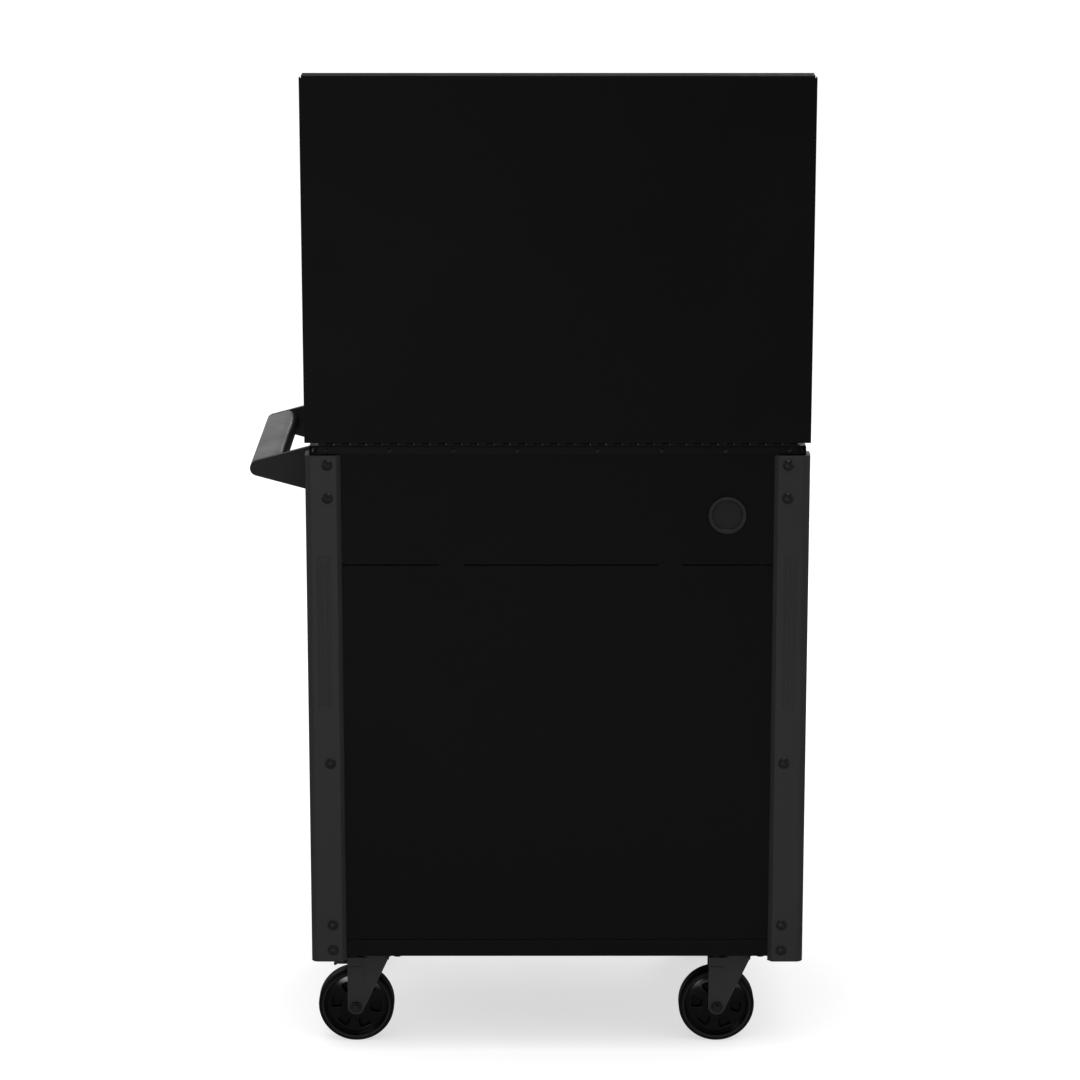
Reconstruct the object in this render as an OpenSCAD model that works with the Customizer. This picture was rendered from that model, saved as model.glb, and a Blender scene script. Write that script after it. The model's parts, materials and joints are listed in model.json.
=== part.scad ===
// Rolling tool chest: a four-drawer steel cabinet on casters, with a lift-up lid over a till.
// Millimetres. +Z is up, the drawers open towards -Y, the lid hinges at +Y, the handle is at +X.
// The origin is on the floor, under the centre of the whole object's box.

/* [Cabinet] */
// Width over the corner guards, which is also the lid's width
guard_width = 804; // [780:2:840]
// Depth over the corner guards
guard_depth = 576; // [560:2:600]
// Height of the cabinet's underside above the floor
cab_bottom = 166; // [164:1:172]
// Height of the top rim of the walls above the floor
cab_top = 1020; // [1000:1:1040]
// Thickness of the cabinet's sheet steel
sheet = 1.2; // [1:0.1:1.5]
// Height of the seam between the upper and the lower panels
seam_z = 825; // [815:1:830]
// Height of the till's floor
till_z = 838; // [836:1:850]

/* [Corner guards] */
// How far a guard stands proud of the side wall
guard_side = 7; // [6:0.5:8]
// How far a guard stands proud of the front and the back
guard_face = 8; // [7:0.5:9]
// Width of a guard's leg on the back
guard_leg = 57.5; // [55:0.5:60]
// Width of a guard's leg on the side
guard_wing = 45; // [40:1:50]
// Height of a guard's bottom edge
guard_bottom = 159; // [158:1:162]
// Height of a guard's top edge
guard_top = 1005; // [985:1:1005]

/* [Lid] */
// Length of the lid from the hinge edge to the front lip
lid_length = 582; // [575:1:590]
// Depth of the lid's side flanges
lid_flange = 18; // [12:1:18]
// Depth of the lid's front lip
lid_lip = 39; // [30:1:45]
// Angle of the open lid from the closed one
lid_open = 91; // [85:0.5:95]

/* [Drawers] */
// Gap between neighbouring drawer fronts
drawer_gap = 3; // [2:0.5:4]
// Depth of a drawer's tub from front to back
tub_depth = 490; // [450:5:490]
// How far the pull's lip stands out of the drawer front
pull_reach = 16; // [14:1:18]

/* [Handle] */
// Reach of the handle from the side wall
handle_reach = 101; // [95:1:110]
// Distance from the middle of one arm to the middle of the other
arm_spacing = 386; // [360:2:400]
// Height of an arm at the wall
arm_root = 74; // [68:1:76]
// Height of the grip's centre line
handle_z = 966; // [955:1:966]

/* [Casters] */
// Diameter of a wheel over the tyre
wheel_d = 125; // [120:1:125]
// Width of a tyre
tyre_w = 36; // [34:1:38]
// How far the wheel trails behind the swivel axis
trail = 34; // [30:1:36]
// Distance of a swivel axis from the cabinet's middle plane
swivel_x = 298.7; // [290:0.1:300]
// Distance of a swivel axis from the middle plane that runs side to side
swivel_y = 213; // [205:1:215]

/* [Hidden] */
$fn = 48;

// Cabinet walls
wall_x = guard_width / 2 - guard_side;
wall_y = guard_depth / 2 - guard_face;
corner_r = 4;
flange_x = 350.5;
panel_x = 349.5;
seam_half = 1;
seam_tab_w = 40;
seam_tab_x = [170, -180];
rim_w = 12;
rim_h = 10;
rim_r = 3;
rail_top = 194;
tray_lip = 10;
ear_x0 = 330;
ear_x1 = 385;
ear_z0 = till_z + 14;

// Corner posts that carry the drawer slides
post_x = 345;
post_y = 240;
post_t = 1.5;
post_leg = 40;

// Corner guards and their dome-head screws
guard_r = 11.5;
guard_skin = 3;
guard_cap = 8;
guard_chamfer = 7.2;
screw_x = 366.5;
screw_z = [179, 222, 497, 936, 990];
screw_head_r = 9;
screw_head_h = 4.5;
screw_r = 3;
screw_hole_r = 3.1;
screw_len = 18;
inlay_w = 20;
inlay_z0 = 583;
inlay_z1 = 842;
inlay_deep = 0.8;
inlay_bar = 2.4;

// Piano hinge
knuckle_r = 3.5;
knuckle_len = 12.7;
knuckle_pairs = 30;
knuckle_gap = 0.4;
pin_gap = 1.9;
pin_r = 1.5;
pin_bore_r = 1.55;
leaf_t = 1.2;
leaf_clear = 3.9;
body_leaf_h = 16;
lid_leaf_h = 26;
hinge_x = knuckle_pairs * knuckle_len;
hinge_y = wall_y + knuckle_r;
hinge_z = cab_top + knuckle_r - 1;
hinge_screw_x = [63.5, 165.1, 266.7, 368.3];
hinge_screw_z = hinge_z - 10.6;
hinge_screw_r = 4.2;

// Lid
lid_in_z = hinge_z + knuckle_r;
lid_out_z = lid_in_z + sheet;
lid_rear = wall_y;
lid_front = lid_rear - lid_length;
lid_x = guard_width / 2;
lid_r = 3;
relief_x = 3.5;
relief_y = 3;
hem_h = 8;
stiff_w = 42;
stiff_h = 12;
stiff_foot = 10;
stiff_len = 640;

// Gas struts: the body stud, the lid stud and the two halves
strut_x = 370;
stud_body = [hinge_y - 40, hinge_z - 32];
stud_run = 225;
stud_drop = 16;
stud_r = 4;
eye_r = 8;
eye_w = 9;
eye_bore_r = 4.06;
open_gap = 1;
barrel_r = 9;
barrel_bore_r = 4.08;
barrel_len = 128;
rod_r = 4;
rod_in = 40;

// Drawers, from the top one down
drawer_h = [101.6, 101.6, 152.4, 254];
drawer_top = seam_z - 3;
front_x = 342;
front_d = 20;
front_y = guard_depth / 2;
pull_drop = 14;
tub_x = 332;
tub_t = 1;
tub_r = 3;
tub_y0 = front_y - front_d;
tub_under = 6;
tub_over = 12;
tub_hem = 8;

// Ball slides: three nested channels
slide_h = 45;
slide_t = 1.2;
slide_rise = 32;
slide_outer_len = 512;
slide_mid_len = 500;
slide_y0 = tub_y0 - 1;
slide_nest = 0.4;
slide_outer_d = 11.5;
slide_mid_x = 343.1;
slide_mid_d = 8.6;

// Handle
arm_t = 10;
arm_tip_r = 12.5;
arm_flange_w = 34;
arm_flange_t = 4;
arm_x = wall_x + handle_reach - arm_tip_r;
grip_in_x = wall_x + 48;
grip_corner_r = 14;
grip_wall = 3;
arm_screw_z = 22;
arm_screw_y = 11;

// Cable grommet in the upper back panel
grommet_x = -271;
grommet_z = 907;
grommet_r = 30;
grommet_neck_r = 25.5;
grommet_bore_r = 23.5;
grommet_face = 3;
membrane_t = 1.6;
slit_w = 0.8;
slit_len = 36;

// Lock
lock_x = 300;
lock_z = 950;
lock_r = 9.5;
lock_hole_r = 9.6;
lock_rim_r = 12.5;
lock_plug_r = 6;
lock_bore_r = 6.06;
cam_len = 34;

// Casters, built about their swivel axis with the wheel trailing towards +X
axle_z = wheel_d / 2;
plate_w = 95;
plate_d = 98;
plate_t = 4;
plate_z = cab_bottom - plate_t;
bolt_x = 36;
bolt_y = 38;
bolt_r = 4;
bolt_head = 13;
race_r = 26;
crown_r = 31;
crown_flare = 5;
crown_z0 = 148;
crown_z1 = 156;
race_z = 156.5;
king_r = 6;
king_bore_r = 6.06;
fork_t = 3.5;
fork_in_y = 20.5;
fork_end_r = 13.8;
fork_tuck = 0.1;
pad_half = 13.2;
pad_top = 132;
pad_r = 3;
fork_back = -21;
axle_r = 6;
axle_bore_r = 6.05;
hub_bore_r = 6.08;
hub_r = 15;
hub_half = 20;
core_r = 50;
core_half = 17;
rim_in_r = 46;
web_half = 8;
pocket_count = 6;
pocket_turn = 7;
pocket_in = 27;
pocket_out = 36.5;
pocket_in_half = 3.5;
pocket_out_half = 6.5;
tyre_r = 6.2;
pedal_pin_x = 26;
pedal_pin_z = 136;
pedal_end = 68;
pedal_half = 17;

// The object's origin
origin_x = (wall_x + handle_reach - guard_width / 2) / 2;

// ---------- helpers ----------

// A box between two corners
module block(low, high) {
    translate(low)
        cube(high - low);
}

module both_sides() {
    children();
    mirror([1, 0, 0])
        children();
}

module four_corners() {
    both_sides() {
        children();
        mirror([0, 1, 0])
            children();
    }
}

// A centred rectangle with round corners, built of true arcs
module rounded_rect(w, d, r) {
    square([w - 2 * r, d], center = true);
    square([w, d - 2 * r], center = true);
    for (sx = [-1, 1], sy = [-1, 1])
        translate([sx * (w / 2 - r), sy * (d / 2 - r)])
            circle(r);
}

// The outline of a folded sheet that runs round a rectangle
module sheet_ring(w, d, r, t) {
    difference() {
        rounded_rect(w, d, r);
        rounded_rect(w - 2 * t, d - 2 * t, max(r - t, 0.2));
    }
}

// Turns a profile drawn in X and Z into a bar along Y
module along_y(y0, y1) {
    translate([0, y1, 0])
        rotate([90, 0, 0])
            linear_extrude(y1 - y0)
                children();
}

// Turns a profile drawn in Y and Z into a bar along X
module along_x(x0, x1) {
    translate([x0, 0, 0])
        rotate([90, 0, 90])
            linear_extrude(x1 - x0)
                children();
}

module rod_x(r, x0, x1, y, z) {
    translate([x0, y, z])
        rotate([0, 90, 0])
            cylinder(r = r, h = x1 - x0);
}

module rod_y(r, y0, y1, x, z) {
    translate([x, y1, z])
        rotate([90, 0, 0])
            cylinder(r = r, h = y1 - y0);
}

// Where a line from point p touches the circle about c, on the side given by s
function touch(p, c, r, s) =
    let (d = p - c, a = atan2(d[1], d[0]) + s * acos(r / norm(d)))
    c + r * [cos(a), sin(a)];

// A slot with round ends, along Y of its own plane
module stadium(w, len) {
    square([w, len - w], center = true);
    for (s = [-1, 1])
        translate([0, s * (len - w) / 2])
            circle(w / 2);
}

// A round-headed screw whose head stands on z = 0 and whose shank goes down
module dome_screw(head_r, head_h, shank_r, shank_len) {
    ball_r = (head_r * head_r + head_h * head_h) / (2 * head_h);
    intersection() {
        translate([0, 0, head_h - ball_r])
            sphere(ball_r);
        cylinder(r = head_r, h = head_h);
    }
    translate([0, 0, -shank_len])
        cylinder(r = shank_r, h = shank_len + 0.1);
}

// ---------- cabinet ----------

// The hook-shaped fold along the top of a wall, in section, with its outer face at 0
module rim_section() {
    intersection() {
        translate([-rim_w / 2, cab_top - rim_w])
            sheet_ring(rim_w, 2 * rim_w, rim_r, sheet);
        translate([-rim_w, cab_top - rim_h])
            square([rim_w, rim_h]);
    }
}

// Holes for the guard screws in whatever lies behind the guards of the +X side
module guard_screw_holes() {
    for (z = screw_z, s = [-1, 1])
        rod_y(screw_hole_r, s * wall_y - 45, s * wall_y + 45, screw_x, z);
}

module side_panel() {
    color([0.06, 0.06, 0.065])
    difference() {
        union() {
            translate([0, 0, cab_bottom])
                linear_extrude(cab_top - rim_h - cab_bottom)
                    intersection() {
                        sheet_ring(2 * wall_x, 2 * wall_y, corner_r, sheet);
                        translate([flange_x, -wall_y])
                            square([wall_x - flange_x, 2 * wall_y]);
                    }
            along_y(-wall_y, wall_y)
                translate([wall_x, 0])
                    rim_section();
        }
        guard_screw_holes();
        handle_screw_holes();
    }
}

module side_panel_right() {
    side_panel();
}

// The plain side has no handle, so it has no handle holes
module side_panel_left() {
    mirror([1, 0, 0])
        color([0.06, 0.06, 0.065])
        difference() {
            union() {
                translate([0, 0, cab_bottom])
                    linear_extrude(cab_top - rim_h - cab_bottom)
                        intersection() {
                            sheet_ring(2 * wall_x, 2 * wall_y, corner_r, sheet);
                            translate([flange_x, -wall_y])
                                square([wall_x - flange_x, 2 * wall_y]);
                        }
                along_y(-wall_y, wall_y)
                    translate([wall_x, 0])
                        rim_section();
            }
            guard_screw_holes();
        }
}

// The panel above the seam, at the back: plate, folded rim and the ears behind the side flanges
module upper_panel() {
    block([-panel_x, wall_y - sheet, seam_z + seam_half], [panel_x, wall_y, cab_top - rim_h + 0.5]);
    along_x(-wall_x + rim_w, wall_x - rim_w)
        translate([wall_y, 0])
            rim_section();
    both_sides()
        difference() {
            block([ear_x0, wall_y - 2 * sheet, ear_z0], [ear_x1, wall_y - sheet, cab_top - 24]);
            guard_screw_holes();
        }
}

module back_panel_upper() {
    color([0.06, 0.06, 0.065])
    difference() {
        union() {
            upper_panel();
            for (x = seam_tab_x)
                block([x - seam_tab_w / 2, wall_y - sheet, seam_z - seam_half],
                      [x + seam_tab_w / 2, wall_y, seam_z + seam_half]);
        }
        rod_y(grommet_neck_r + 0.1, wall_y - 10, wall_y + 10, grommet_x, grommet_z);
        hinge_screw_holes();
    }
}

module front_panel() {
    color([0.06, 0.06, 0.065])
    difference() {
        mirror([0, 1, 0])
            upper_panel();
        rod_y(lock_hole_r, -wall_y - 10, -wall_y + 10, lock_x, lock_z);
    }
}

module back_panel_lower() {
    color([0.06, 0.06, 0.065])
    difference() {
        block([-panel_x, wall_y - sheet, rail_top + 1], [panel_x, wall_y, seam_z - seam_half]);
        // Two pressed swages stiffen the large panel on its inner face
        for (s = [-1, 1])
            block([s * 200 - 30, wall_y - sheet - 1, 260], [s * 200 + 30, wall_y - sheet + 0.3, 760]);
    }
}

module bottom_pan() {
    color([0.06, 0.06, 0.065])
    difference() {
        union() {
            translate([0, 0, cab_bottom])
                linear_extrude(sheet)
                    rounded_rect(2 * (wall_x - sheet), 2 * (wall_y - sheet), corner_r - sheet);
            for (s = [0, 1])
                mirror([0, s, 0])
                    block([-panel_x, wall_y - sheet, cab_bottom], [panel_x, wall_y, rail_top]);
        }
        for (sx = [-1, 1], sy = [-1, 1], bx = [-1, 1], by = [-1, 1])
            translate([sx * swivel_x + bx * bolt_x, sy * swivel_y + by * bolt_y, cab_bottom - 1])
                cylinder(r = bolt_r + 0.2, h = 10);
    }
}

// The till's floor is a shallow tray
module till_floor() {
    color([0.06, 0.06, 0.065])
    translate([0, 0, till_z]) {
        linear_extrude(sheet)
            rounded_rect(2 * (wall_x - sheet), 2 * (wall_y - sheet), corner_r - sheet);
        linear_extrude(tray_lip)
            sheet_ring(2 * (wall_x - sheet), 2 * (wall_y - sheet), corner_r - sheet, sheet);
    }
}

module corner_posts() {
    leg_y = wall_y - sheet;
    color([0.1, 0.1, 0.105])
    four_corners()
        difference() {
            translate([0, 0, cab_bottom + sheet])
                linear_extrude(till_z - cab_bottom - sheet)
                    difference() {
                        translate([post_x, post_y])
                            square([post_leg, leg_y - post_y]);
                        translate([post_x + post_t, post_y + post_t])
                            square([post_leg, leg_y - post_y - 2 * post_t]);
                    }
            guard_screw_holes();
        }
}

// ---------- corner guards ----------

// The guard's section over the corner at +X and +Y
module guard_section() {
    gx = guard_width / 2;
    gy = guard_depth / 2;
    difference() {
        intersection() {
            rounded_rect(guard_width, guard_depth, guard_r);
            translate([gx - guard_leg, gy - guard_wing])
                square([guard_leg, guard_wing]);
        }
        translate([0, 0])
            square([wall_x, wall_y]);
        polygon([[gx - guard_leg - 1, wall_y], [gx - guard_leg, wall_y],
                 [gx - guard_leg + guard_chamfer, gy], [gx - guard_leg + guard_chamfer, gy + 1],
                 [gx - guard_leg - 1, gy + 1]]);
        polygon([[wall_x, gy - guard_wing - 1], [wall_x, gy - guard_wing],
                 [gx, gy - guard_wing + guard_chamfer], [gx + 1, gy - guard_wing + guard_chamfer],
                 [gx + 1, gy - guard_wing - 1]]);
    }
}

// The hollow behind the guard's skin, with a solid boss left round each screw
module guard_hollow() {
    gx = guard_width / 2;
    difference() {
        union() {
            block([gx - guard_leg + guard_chamfer + 1, wall_y - 1, guard_bottom + guard_cap],
                  [wall_x, wall_y + guard_face - guard_skin, guard_top - guard_cap]);
            block([wall_x - 1, wall_y - guard_wing + guard_face + guard_chamfer + 4, guard_bottom + guard_cap],
                  [wall_x + guard_side - guard_skin, wall_y, guard_top - guard_cap]);
        }
        for (z = screw_z)
            rod_y(screw_head_r, wall_y - 2, wall_y + guard_face, screw_x, z);
    }
}

// A plain long inlay: a shallow stadium with two slim raised bars
module guard_inlay() {
    mid_z = (inlay_z0 + inlay_z1) / 2;
    along_y(wall_y + guard_face - inlay_deep, wall_y + guard_face + 1)
        translate([screw_x + guard_chamfer, mid_z])
            difference() {
                stadium(inlay_w, inlay_z1 - inlay_z0);
                for (s = [-1, 1])
                    translate([s * inlay_w / 5, 0])
                        stadium(inlay_bar, inlay_z1 - inlay_z0 - inlay_w);
            }
}

module corner_guards() {
    color([0.17, 0.17, 0.177])
    four_corners()
        difference() {
            translate([0, 0, guard_bottom])
                linear_extrude(guard_top - guard_bottom)
                    guard_section();
            guard_hollow();
            guard_inlay();
            guard_screw_holes();
        }
}

// ---------- screws ----------

// Positions of the four screws that hold the handle's arms
module at_handle_screws() {
    for (sy = [-1, 1], z = [-1, 1])
        translate([wall_x - sheet, sy * (arm_spacing / 2 + arm_screw_y), handle_z + z * arm_screw_z])
            rotate([0, -90, 0])
                children();
}

module handle_screw_holes() {
    at_handle_screws()
        translate([0, 0, -8])
            cylinder(r = screw_hole_r, h = 20);
}

module hinge_screw_holes() {
    for (x = hinge_screw_x, s = [-1, 1])
        rod_y(2.1, wall_y - 5, wall_y + 5, s * x, hinge_screw_z);
}

module panel_screws() {
    color([0.04, 0.04, 0.045]) {
        four_corners()
            for (z = screw_z)
                translate([screw_x, wall_y + guard_face, z])
                    rotate([-90, 0, 0])
                        dome_screw(screw_head_r, screw_head_h, screw_r, screw_len);
        at_handle_screws()
            dome_screw(6, 3, screw_r, 5);
        for (x = hinge_screw_x, s = [-1, 1])
            translate([s * x, wall_y + leaf_t, hinge_screw_z])
                rotate([-90, 0, 0])
                    dome_screw(hinge_screw_r, 2.4, 2, 5);
    }
}

// ---------- hinge ----------

// One row of knuckles along the hinge line, each with its tab towards the leaf below it
module knuckle_row(first, len) {
    for (i = [0 : knuckle_pairs - 1])
        translate([-hinge_x + (2 * i + first) * knuckle_len + knuckle_gap / 2, 0, 0]) {
            difference() {
                union() {
                    rod_x(knuckle_r, 0, len, 0, 0);
                    block([0, -knuckle_r, -leaf_clear - 0.1], [len, -knuckle_r + leaf_t, 0]);
                }
                rod_x(pin_bore_r, -1, len + 1, 0, 0);
            }
        }
}

module hinge_body_leaf() {
    color([0.05, 0.05, 0.055])
    difference() {
        translate([0, hinge_y, hinge_z]) {
            knuckle_row(0, knuckle_len - knuckle_gap);
            block([-hinge_x, -knuckle_r, -body_leaf_h], [hinge_x, -knuckle_r + leaf_t, -leaf_clear]);
        }
        hinge_screw_holes();
    }
}

// The pin is held by the body's knuckles and sticks out a little at both ends
module hinge_pin() {
    color([0.75, 0.75, 0.77])
        rod_x(pin_r, -hinge_x - 1, hinge_x + 1, hinge_y, hinge_z);
}

// Carries what is drawn for the closed lid into the open pose
module lid_pose() {
    translate([0, hinge_y, hinge_z])
        rotate([-lid_open, 0, 0])
            translate([0, -hinge_y, -hinge_z])
                children();
}

// On the closed lid the leaf lies flat under the panel, a quarter turn from the body's leaf
module hinge_lid_leaf() {
    color([0.05, 0.05, 0.055])
    lid_pose()
        translate([0, hinge_y, hinge_z])
            rotate([-90, 0, 0]) {
                knuckle_row(1, knuckle_len - pin_gap);
                block([-hinge_x, -knuckle_r, -lid_leaf_h],
                      [hinge_x, -knuckle_r + leaf_t, -leaf_clear]);
            }
}

// ---------- lid ----------

module lid_panel() {
    color([0.06, 0.06, 0.065])
    lid_pose() {
        // Top skin and the two side flanges, in one fold
        along_y(lid_front + relief_y, lid_rear)
            intersection() {
                translate([0, lid_out_z - 50])
                    sheet_ring(2 * lid_x, 100, lid_r, sheet);
                translate([-lid_x, lid_out_z - lid_flange])
                    square([2 * lid_x, lid_flange]);
            }
        // Front lip, folded down between the corner reliefs and hemmed at its edge
        along_x(-lid_x + relief_x, lid_x - relief_x) {
            intersection() {
                translate([lid_front + 50, lid_out_z - 50])
                    sheet_ring(100, 100, lid_r, sheet);
                translate([lid_front, lid_out_z - lid_lip])
                    square([relief_y + 1, lid_lip]);
            }
            translate([lid_front + sheet / 2, lid_out_z - lid_lip])
                square([1.5 * sheet, hem_h]);
        }
    }
}

// A hat-section bar welded across the inside of the lid
module lid_stiffener() {
    mid_y = lid_front + lid_length * 0.48;
    color([0.06, 0.06, 0.065])
    lid_pose()
        along_x(-stiff_len / 2, stiff_len / 2)
            translate([mid_y, 0]) {
                difference() {
                    translate([-stiff_w / 2, lid_in_z - stiff_h])
                        square([stiff_w, stiff_h]);
                    translate([-stiff_w / 2 + sheet, lid_in_z - stiff_h + sheet])
                        square([stiff_w - 2 * sheet, stiff_h]);
                }
                for (s = [-1, 1])
                    translate([s * (stiff_w / 2 + stiff_foot / 2 - 0.01), lid_in_z - sheet / 2])
                        square([stiff_foot, sheet], center = true);
            }
}

// ---------- gas struts ----------

// The lid stud's place on the closed lid and in the open pose
stud_closed = [hinge_y - stud_run, lid_in_z - stud_drop];
stud_rel = stud_closed - [hinge_y, hinge_z];
stud_open = [hinge_y, hinge_z]
    + [stud_rel[0] * cos(lid_open) + stud_rel[1] * sin(lid_open),
       -stud_rel[0] * sin(lid_open) + stud_rel[1] * cos(lid_open)];
strut_vec = stud_open - stud_body;
strut_len = norm(strut_vec);
strut_tilt = atan2(strut_vec[1], strut_vec[0]);

// A bracket foot on the lid with a stud that ends just short of the rod's eye
module lid_studs() {
    foot_x = strut_x - eye_w / 2 - open_gap;
    color([0.55, 0.55, 0.57])
    lid_pose()
        both_sides() {
            block([foot_x - 22, stud_closed[0] - 18, lid_in_z - 2], [foot_x - 2, stud_closed[0] + 18, lid_in_z]);
            difference() {
                block([foot_x - 3, stud_closed[0] - 9, stud_closed[1] - 9],
                      [foot_x, stud_closed[0] + 9, lid_in_z]);
                block([foot_x - 4, stud_closed[0] - 2, lid_in_z - 8], [foot_x + 1, stud_closed[0] + 2, lid_in_z - 4]);
            }
            rod_x(stud_r, foot_x - 7, foot_x - 3 + 0.01, stud_closed[0], stud_closed[1]);
        }
}

// A wall bracket and the ball stud that the cylinder's eye turns on
module strut_brackets() {
    color([0.55, 0.55, 0.57])
    both_sides() {
        block([wall_x - sheet - 2.5, stud_body[0] - 16, stud_body[1] - 20],
              [wall_x - sheet, stud_body[0] + 16, stud_body[1] + 14]);
        rod_x(stud_r + 3, strut_x + eye_w / 2 + 1, wall_x - sheet - 2, stud_body[0], stud_body[1]);
        rod_x(stud_r, strut_x - eye_w / 2 - 2, wall_x - sheet - 2, stud_body[0], stud_body[1]);
    }
}

// Draws a strut part along +X of its own line, from the body stud to the lid stud
module strut_pose(side) {
    mirror([side < 0 ? 1 : 0, 0, 0])
        translate([strut_x, stud_body[0], stud_body[1]])
            rotate([strut_tilt, 0, 0])
                children();
}

module strut_eye(bore) {
    rotate([0, 90, 0])
        difference() {
            cylinder(r = eye_r, h = eye_w, center = true);
            cylinder(r = bore, h = eye_w + 2, center = true);
        }
}

module strut_cylinder(side) {
    color([0.07, 0.07, 0.075])
    strut_pose(side) {
        strut_eye(eye_bore_r);
        difference() {
            union() {
                rotate([-90, 0, 0])
                    translate([0, 0, eye_r - 1])
                        cylinder(r = 5, h = 6);
                rotate([-90, 0, 0])
                    translate([0, 0, eye_r + 4])
                        cylinder(r = barrel_r, h = barrel_len);
            }
            rotate([-90, 0, 0])
                translate([0, 0, eye_r + 8])
                    cylinder(r = barrel_bore_r, h = barrel_len);
        }
    }
}

module strut_rod(side) {
    color([0.78, 0.78, 0.8])
    strut_pose(side)
        translate([0, strut_len, 0]) {
            strut_eye(stud_r + 1);
            rotate([90, 0, 0])
                translate([0, 0, eye_r - 1])
                    cylinder(r = eye_w / 2, h = 8);
            rotate([90, 0, 0])
                translate([0, 0, eye_r - 1])
                    cylinder(r = rod_r, h = strut_len - eye_r - barrel_len - 12 + 1 + rod_in);
        }
}

// ---------- grommet ----------

module cable_grommet() {
    color([0.09, 0.09, 0.095])
    translate([grommet_x, 0, grommet_z])
        difference() {
            union() {
                rod_y(grommet_r, wall_y, wall_y + grommet_face, 0, 0);
                rod_y(grommet_neck_r, wall_y - 8, wall_y + 1, 0, 0);
                rod_y(grommet_neck_r + 2, wall_y - 8, wall_y - 5, 0, 0);
            }
            rod_y(grommet_bore_r, wall_y - 9, wall_y + grommet_face + 1, 0, 0);
            translate([0, wall_y + grommet_face, 0])
                rotate([90, 0, 0])
                    cylinder(r1 = grommet_bore_r + 1.6, r2 = grommet_bore_r, h = 1.6);
        }
}

// A thin rubber disc, slit like a star so that a plug can be pushed through
module grommet_membrane() {
    color([0.08, 0.08, 0.085])
    translate([grommet_x, 0, grommet_z])
        difference() {
            rod_y(grommet_bore_r, wall_y - membrane_t, wall_y, 0, 0);
            for (a = [0 : 60 : 120])
                rotate([0, a, 0])
                    block([-slit_len / 2, wall_y - 5, -slit_w / 2], [slit_len / 2, wall_y + 5, slit_w / 2]);
        }
}

// ---------- handle ----------

arm_tip = [arm_x, handle_z];
arm_hi = [wall_x, handle_z + arm_root / 2];
arm_lo = [wall_x, handle_z - arm_root / 2];

// Height of the arm's upper edge above the grip's centre line at x
arm_slope = atan2(arm_root / 2, arm_x - wall_x) - asin(arm_tip_r / norm([arm_x - wall_x, arm_root / 2]));
function arm_half(x) = arm_root / 2 - (x - wall_x) * tan(arm_slope);

module arm_section() {
    translate(arm_tip)
        circle(arm_tip_r);
    polygon([arm_hi, touch(arm_hi, arm_tip, arm_tip_r, -1), touch(arm_lo, arm_tip, arm_tip_r, 1), arm_lo]);
}

// The grip follows the arms' wedge, with two rounded inner corners; shrink makes it hollow
module grip_section(shrink) {
    cx = grip_in_x + grip_corner_r;
    cz = arm_half(cx) - grip_corner_r / cos(arm_slope);
    r = grip_corner_r - shrink;
    tip_r = arm_tip_r - shrink;
    lean = [sin(arm_slope), cos(arm_slope)];
    translate([0, handle_z]) {
        translate([arm_x, 0])
            circle(tip_r);
        for (s = [-1, 1])
            translate([cx, s * cz])
                circle(r);
        polygon([[arm_x + tip_r * lean[0], tip_r * lean[1]],
                 [cx + r * lean[0], cz + r * lean[1]],
                 [cx - r, cz], [cx - r, -cz],
                 [cx + r * lean[0], -cz - r * lean[1]],
                 [arm_x + tip_r * lean[0], -tip_r * lean[1]]]);
    }
}

module handle_arms() {
    color([0.13, 0.13, 0.14])
    for (s = [-1, 1])
        translate([0, s * arm_spacing / 2, 0])
            difference() {
                union() {
                    along_y(-arm_t / 2, arm_t / 2)
                        arm_section();
                    block([wall_x, -arm_flange_w / 2, handle_z - arm_root / 2],
                          [wall_x + arm_flange_t, arm_flange_w / 2, handle_z + arm_root / 2]);
                }
                for (z = [-1, 1])
                    rod_x(screw_hole_r, wall_x - 1, wall_x + arm_flange_t + 1,
                          s * arm_screw_y, handle_z + z * arm_screw_z);
            }
}

module handle_grip() {
    half = arm_spacing / 2 - arm_t / 2;
    color([0.34, 0.33, 0.325])
        along_y(-half, half)
            difference() {
                grip_section(0);
                grip_section(grip_wall);
            }
}

// ---------- drawers ----------

function tops(i) = i == 0 ? drawer_top : tops(i - 1) - drawer_h[i - 1] - drawer_gap;
function tub_low(i) = tops(i) - drawer_h[i] + tub_under;
function slide_z(i) = tub_low(i) + slide_rise;

module drawer_tub(i) {
    h = drawer_h[i] - tub_under - tub_over;
    color([0.07, 0.07, 0.075])
    translate([0, -tub_y0 + tub_depth / 2, tub_low(i)]) {
        linear_extrude(tub_t)
            rounded_rect(2 * tub_x, tub_depth, tub_r);
        linear_extrude(h)
            sheet_ring(2 * tub_x, tub_depth, tub_r, tub_t);
        translate([0, 0, h - tub_hem])
            linear_extrude(tub_hem)
                sheet_ring(2 * tub_x, tub_depth, tub_r, 2.2 * tub_t);
    }
}

// The front is a folded pan whose top edge runs out and down again as a full-width pull
module drawer_front(i) {
    top = tops(i);
    low = top - drawer_h[i];
    color([0.06, 0.06, 0.065]) {
        difference() {
            block([-front_x, -front_y, low], [front_x, -tub_y0, top]);
            block([-front_x + sheet, -front_y + sheet, low + sheet], [front_x - sheet, 1 - tub_y0, top - sheet]);
        }
        along_x(-front_x, front_x)
            intersection() {
                translate([-front_y - pull_reach + 50, top - 50])
                    sheet_ring(100, 100, 3, sheet);
                translate([-front_y - pull_reach, top - pull_drop])
                    square([pull_reach + 1, pull_drop]);
            }
    }
}

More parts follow.
